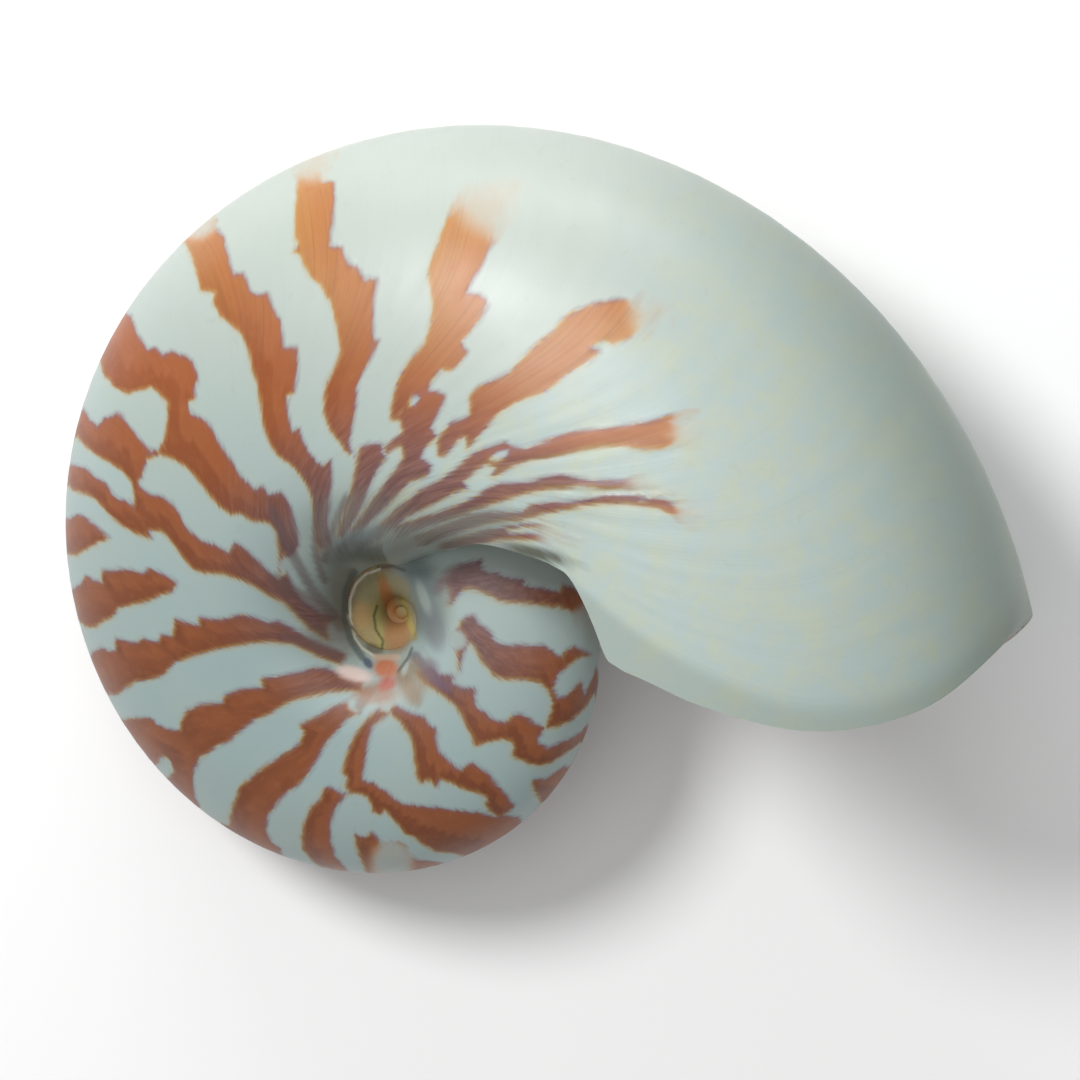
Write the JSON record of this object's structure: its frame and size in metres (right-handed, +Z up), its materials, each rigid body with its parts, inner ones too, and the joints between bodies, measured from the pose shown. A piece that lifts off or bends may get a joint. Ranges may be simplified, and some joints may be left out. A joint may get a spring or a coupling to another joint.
{
  "type": "nautilus shell",
  "caption": "Loose nautilus shell lying on one flank: a flat coil of widening whorls with an umbilicus each side and an open body chamber behind a curved lip.",
  "frame": {"origin": "on the ground under the middle of the shell's outline, as it lies on one flank", "axes": "+Z up; +X from the coil towards the opening, seen from above; +Y from the coil towards the crown of the last whorl"},
  "size_m": [0.1626, 0.1246, 0.0754],
  "materials": {
    "shell": "smooth natural gloss, with orange-brown stripes"
  },
  "bodies": {
    "root": {"shell": "shell"}
  },
  "joints": []
}
